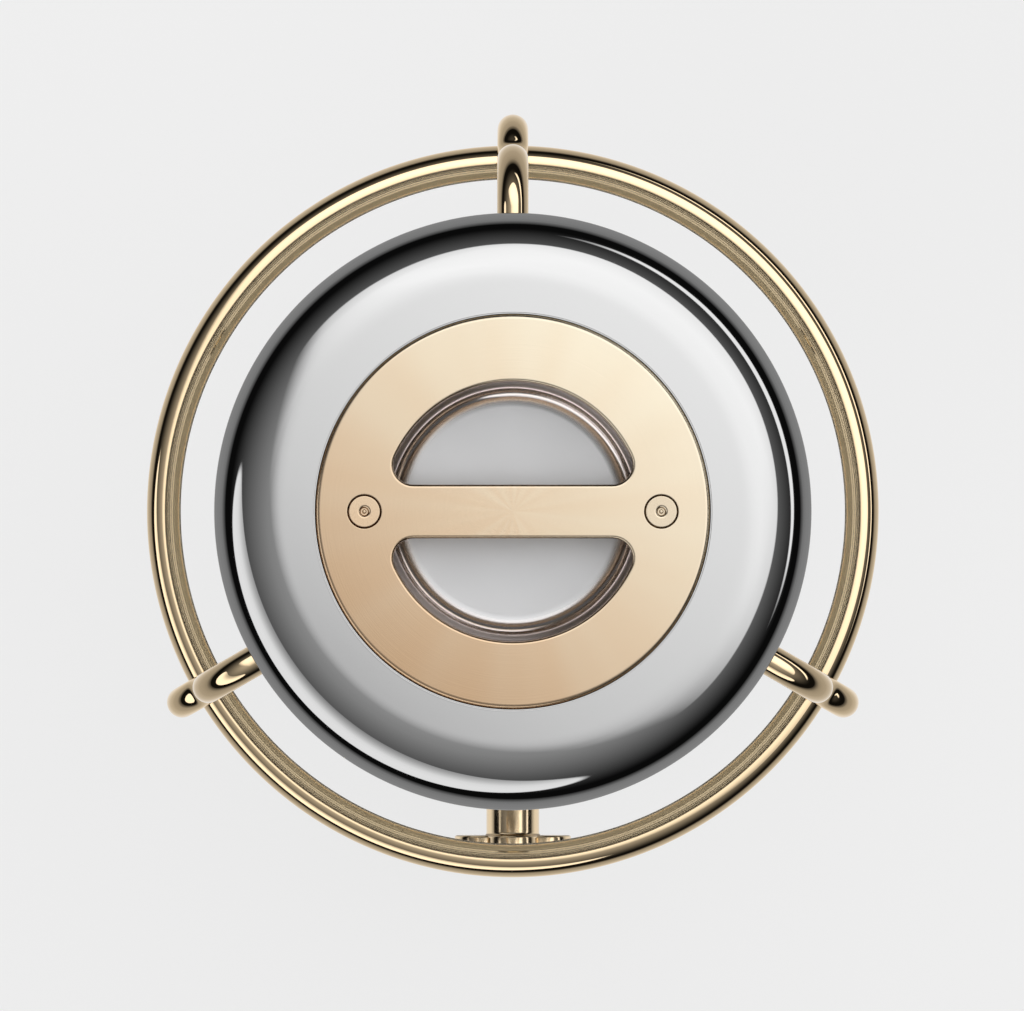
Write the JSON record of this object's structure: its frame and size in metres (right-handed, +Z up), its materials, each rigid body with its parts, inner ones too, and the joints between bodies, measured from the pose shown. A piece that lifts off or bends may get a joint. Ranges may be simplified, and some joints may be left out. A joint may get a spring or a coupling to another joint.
{
  "type": "led lantern",
  "caption": "Upright battery lantern: ribbed glass drum between a domed steel cap and a steel base, guarded by bent rods and a ring, with a hanging bar and a dimmer knob.",
  "frame": {"origin": "on the lantern's axis, in the plane that it stands on, under its rubber foot", "axes": "+Z up along the lantern's axis to the crowned top; -Y towards the dimmer knob, so the rear guard rod is at +Y; +X to the right of someone who faces the knob"},
  "size_m": [0.1489, 0.1552, 0.295],
  "materials": {
    "polished_steel": "mirror-polished stainless steel",
    "satin_steel": "fine satin, spun and bead blasted",
    "screw_steel": "turned bright steel",
    "champagne_brass": "satin champagne brass",
    "polished_brass": "polished pale brass",
    "spun_aluminium": "spun and satin",
    "clear_glass": "clear pressed glass, fire-polished ribs",
    "frosted_glass": "frosted opal glass",
    "black_rubber": "matt moulded rubber",
    "grey_foam": "closed-cell foam",
    "black_plastic": "moulded matt plastic",
    "cell_sleeve": "blue shrink sleeve over steel cans",
    "green_board": "green solder mask",
    "white_board": "white solder mask",
    "led_phosphor": "warm phosphor under clear resin",
    "red_insulation": "insulated wire",
    "blue_insulation": "insulated wire"
  },
  "bodies": {
    "lantern": {"top_cap": "polished_steel", "cap_plate": "champagne_brass", "cap_screws": "champagne_brass", "recess_cup": "satin_steel", "cap_reflector": "spun_aluminium", "reflector_screws": "screw_steel", "upper_gasket": "black_rubber", "glass_lens": "clear_glass", "lower_gasket": "black_rubber", "guard_ring": "polished_brass", "guard_rod_rear": "polished_brass", "guard_rod_left": "polished_brass", "guard_rod_right": "polished_brass", "upper_rod_nuts": "screw_steel", "lower_rod_nuts": "screw_steel", "base_shell": "polished_steel", "base_cover": "champagne_brass", "cover_screws": "screw_steel", "foot_ring": "black_rubber", "lamp_deck": "spun_aluminium", "deck_screws": "screw_steel", "lamp_post": "screw_steel", "post_screws": "screw_steel", "lamp_core": "spun_aluminium", "led_boards": "white_board", "leds": "led_phosphor", "diffuser_globe": "frosted_glass", "globe_ring": "polished_brass", "lamp_lead": "red_insulation", "main_board": "green_board", "board_parts": "black_plastic", "board_screws": "screw_steel", "battery_cells": "cell_sleeve", "lower_cell_tray": "black_plastic", "upper_cell_tray": "black_plastic", "pack_rods": "screw_steel", "pack_pad": "grey_foam", "charging_socket": "screw_steel", "shutter_pivot": "screw_steel", "knob_bush": "polished_brass", "knob_seal": "black_rubber", "encoder_body": "black_plastic", "encoder_nut": "screw_steel", "encoder_bracket": "spun_aluminium", "bracket_screws": "screw_steel", "encoder_lead": "blue_insulation"},
    "press_carrier": {"switch_plunger": "screw_steel"},
    "knob": {"encoder_shaft": "screw_steel", "dimmer_stem": "polished_brass", "dimmer_dial": "polished_brass", "dial_screw": "screw_steel"},
    "shutter": {"port_shutter": "champagne_brass"}
  },
  "joints": [
    {"name": "knob_press", "type": "slide", "parent": "lantern", "child": "press_carrier", "axis": [0, 1, 0], "range_m": [0, 0.0008], "stiffness_N_per_m": 2500, "springref_m": -0.0008},
    {"name": "knob_turn", "type": "hinge", "parent": "press_carrier", "child": "knob", "pos_m": [0, -0.065, 0.048], "axis": [0, 1, 0], "range_deg": [0, 270]},
    {"name": "shutter_swing", "type": "hinge", "parent": "lantern", "child": "shutter", "pos_m": [0.014, 0.022, 0.0016], "axis": [0, 0, 1], "range_deg": [0, 100]}
  ]
}
